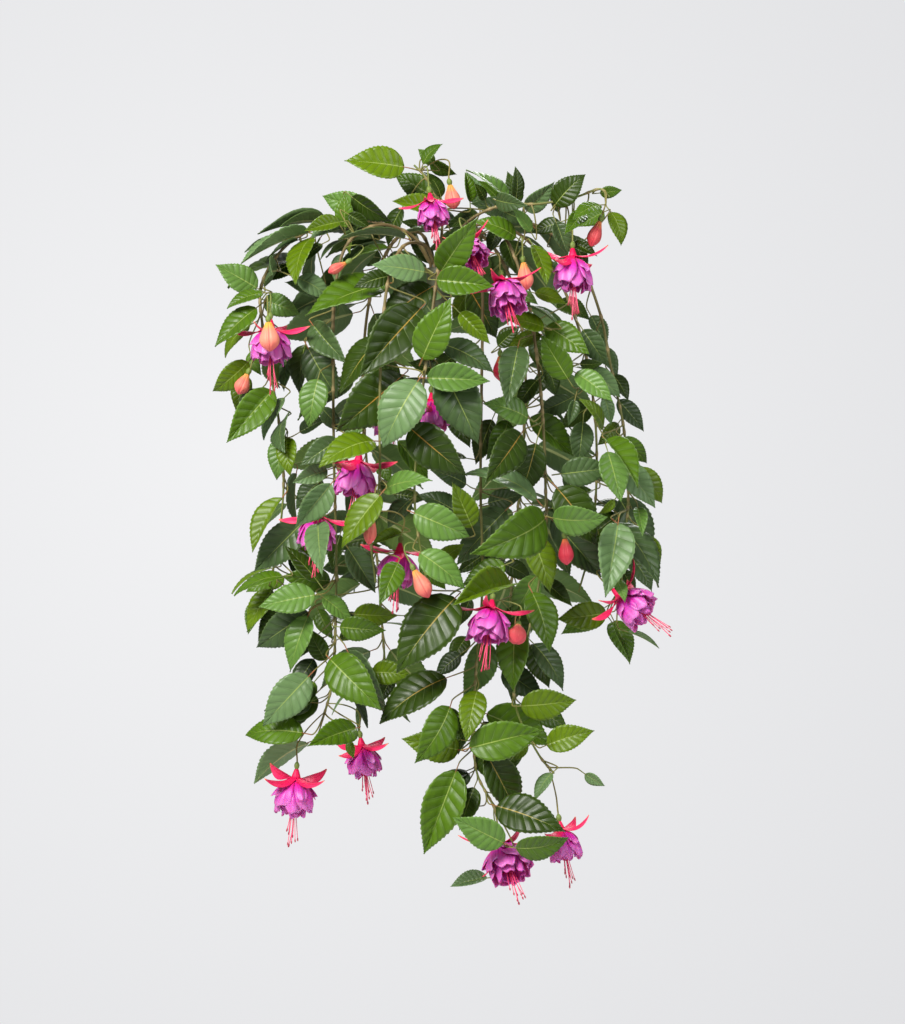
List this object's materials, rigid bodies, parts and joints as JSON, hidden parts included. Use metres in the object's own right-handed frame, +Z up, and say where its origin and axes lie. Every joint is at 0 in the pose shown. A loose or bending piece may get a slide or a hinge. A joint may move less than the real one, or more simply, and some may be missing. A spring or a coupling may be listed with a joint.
{
  "type": "artificial trailing fuchsia bush",
  "caption": "Artificial trailing fuchsia bush: leafy drooping stems set in a push-in stub, with double blooms and teardrop buds, for planting a hanging basket.",
  "frame": {"origin": "middle of the stub's flat lower end", "axes": "+Z up along the stub, out of which the stems rise and then droop; the front faces -Y, +X to the right seen from the front"},
  "size_m": [0.4434, 0.3683, 0.7273],
  "materials": {
    "stub_plastic": "dull dark olive moulded polyethylene",
    "foliage": "coated leaf fabric with pressed veins and a soft gloss, on olive plastic stems",
    "calyx_fabric": "hot pink-red satin fabric sepals, orange at their tips",
    "petal_fabric": "magenta-violet satin fabric petals, deep purple inside",
    "bud_fabric": "coral and peach fabric over a foam teardrop, with four seams"
  },
  "bodies": {
    "root": {"stub": "stub_plastic", "stem_left_long": "foliage", "stem_left_outer": "foliage", "stem_front_left": "foliage", "stem_front": "foliage", "stem_long_centre": "foliage", "stem_long_right": "foliage", "stem_right": "foliage", "stem_right_outer": "foliage", "stem_back_right": "foliage", "stem_back_left": "foliage", "stem_top_left": "foliage", "stem_top_right": "foliage", "bloom_01_calyx": "calyx_fabric", "bloom_01_corolla": "petal_fabric", "bloom_02_calyx": "calyx_fabric", "bloom_02_corolla": "petal_fabric", "bloom_03_calyx": "calyx_fabric", "bloom_03_corolla": "petal_fabric", "bloom_04_calyx": "calyx_fabric", "bloom_04_corolla": "petal_fabric", "bloom_05_calyx": "calyx_fabric", "bloom_05_corolla": "petal_fabric", "bloom_06_calyx": "calyx_fabric", "bloom_06_corolla": "petal_fabric", "bloom_07_calyx": "calyx_fabric", "bloom_07_corolla": "petal_fabric", "bloom_08_calyx": "calyx_fabric", "bloom_08_corolla": "petal_fabric", "bloom_09_calyx": "calyx_fabric", "bloom_09_corolla": "petal_fabric", "bloom_10_calyx": "calyx_fabric", "bloom_10_corolla": "petal_fabric", "bloom_11_calyx": "calyx_fabric", "bloom_11_corolla": "petal_fabric", "bloom_12_calyx": "calyx_fabric", "bloom_12_corolla": "petal_fabric", "bloom_13_calyx": "calyx_fabric", "bloom_13_corolla": "petal_fabric", "bloom_14_calyx": "calyx_fabric", "bloom_14_corolla": "petal_fabric", "bloom_15_calyx": "calyx_fabric", "bloom_15_corolla": "petal_fabric", "bloom_16_calyx": "calyx_fabric", "bloom_16_corolla": "petal_fabric", "bud_01": "bud_fabric", "bud_02": "bud_fabric", "bud_03": "bud_fabric", "bud_04": "bud_fabric", "bud_05": "bud_fabric", "bud_06": "bud_fabric", "bud_07": "bud_fabric", "bud_08": "bud_fabric", "bud_09": "bud_fabric", "bud_10": "bud_fabric", "bud_11": "bud_fabric", "bud_12": "bud_fabric"}
  },
  "joints": []
}
